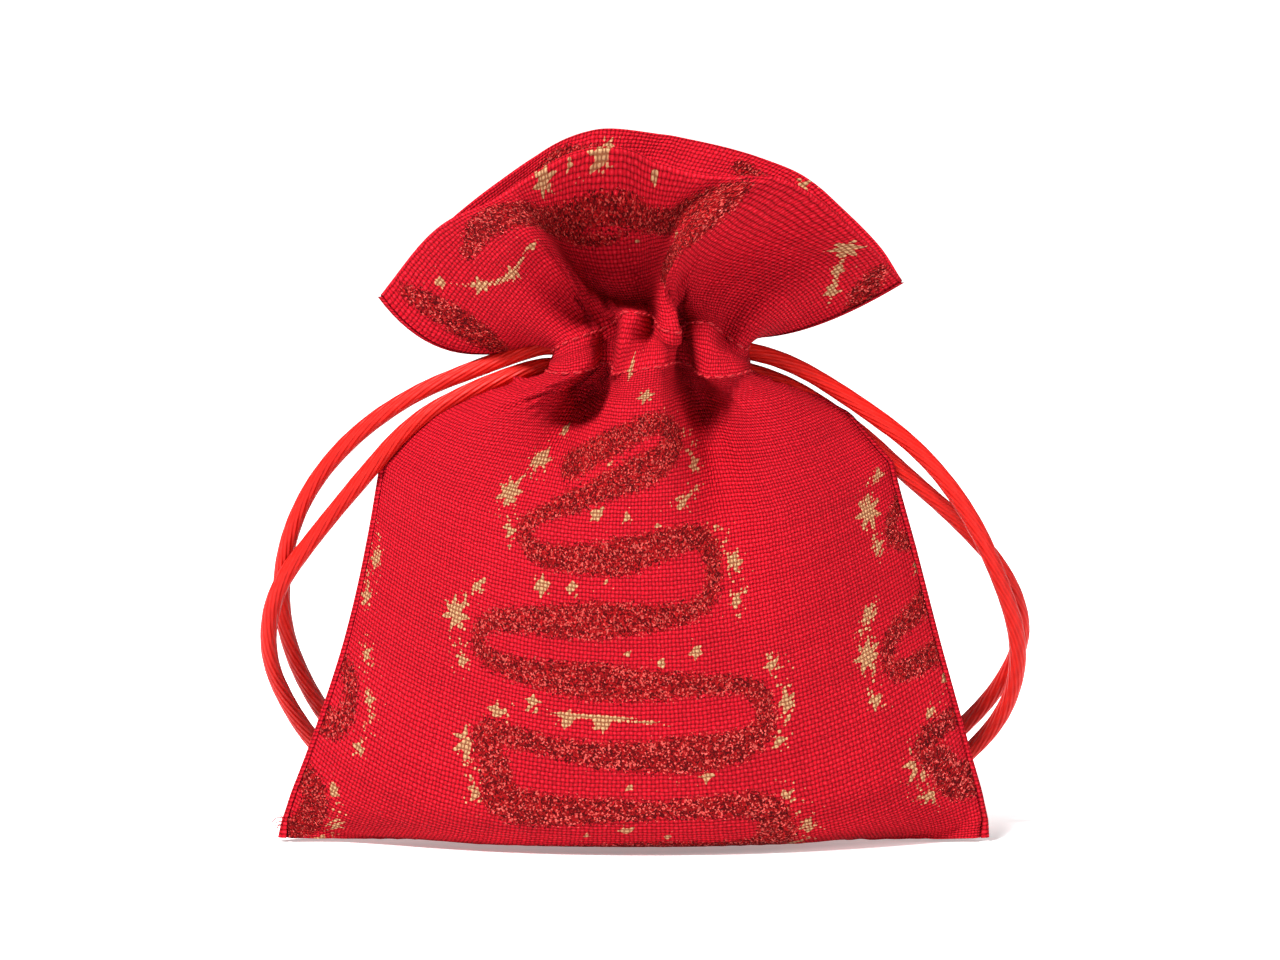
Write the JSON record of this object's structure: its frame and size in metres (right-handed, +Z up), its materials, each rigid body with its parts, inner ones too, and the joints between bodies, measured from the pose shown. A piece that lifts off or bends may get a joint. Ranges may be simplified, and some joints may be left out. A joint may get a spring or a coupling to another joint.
{
  "type": "fabric gift sack",
  "caption": "Small drawstring pouch of printed cotton, cinched at the neck, with a flared ruffle and a knotted satin cord at each side.",
  "frame": {"origin": "middle of the base, on the surface it stands on", "axes": "+Z up, +X to the right seen from the front, the printed front faces -Y"},
  "size_m": [0.1094, 0.0608, 0.0995],
  "materials": {
    "printed_cotton": "coarse plain weave with a glitter and foil print",
    "sewing_thread": "matt sewing thread",
    "satin_cord": "satin"
  },
  "bodies": {
    "sack": {"front_panel": "printed_cotton", "back_panel": "printed_cotton", "bottom_seam": "printed_cotton", "left_side_seam": "printed_cotton", "right_side_seam": "printed_cotton", "front_casing": "printed_cotton", "back_casing": "printed_cotton", "front_facing": "printed_cotton", "back_facing": "printed_cotton", "lower_casing_stitching": "sewing_thread", "upper_casing_stitching": "sewing_thread", "left_cord_in_casing": "satin_cord", "right_cord_in_casing": "satin_cord"},
    "front_lip": {"front_ruffle": "printed_cotton"},
    "back_lip": {"back_ruffle": "printed_cotton"},
    "left_drawcord": {"left_cord_ends_in_slit": "satin_cord"},
    "left_loop": {"left_upper_strand": "satin_cord", "left_lower_strand": "satin_cord", "left_knot": "satin_cord"},
    "right_drawcord": {"right_cord_ends_in_slit": "satin_cord"},
    "right_loop": {"right_upper_strand": "satin_cord", "right_lower_strand": "satin_cord", "right_knot": "satin_cord"}
  },
  "joints": [
    {"name": "front_lip_fold", "type": "hinge", "parent": "sack", "child": "front_lip", "pos_m": [0, -0.0088, 0.075], "axis": [1, 0, 0], "range_deg": [0, 14], "stiffness_Nm_per_rad": 0.02},
    {"name": "back_lip_fold", "type": "hinge", "parent": "sack", "child": "back_lip", "pos_m": [0, 0.0088, 0.075], "axis": [-1, 0, 0], "range_deg": [0, 14], "stiffness_Nm_per_rad": 0.02},
    {"name": "left_drawcord_pull", "type": "slide", "parent": "sack", "child": "left_drawcord", "axis": [-1, 0, 0], "range_m": [0, 0.004]},
    {"name": "left_loop_swing", "type": "hinge", "parent": "left_drawcord", "child": "left_loop", "pos_m": [-0.0136, 0, 0.0689], "axis": [1, 0, 0], "range_deg": [0, 60]},
    {"name": "right_drawcord_pull", "type": "slide", "parent": "sack", "child": "right_drawcord", "axis": [1, 0, 0], "range_m": [0, 0.004]},
    {"name": "right_loop_swing", "type": "hinge", "parent": "right_drawcord", "child": "right_loop", "pos_m": [0.0136, 0, 0.0689], "axis": [1, 0, 0], "range_deg": [0, 60]}
  ]
}
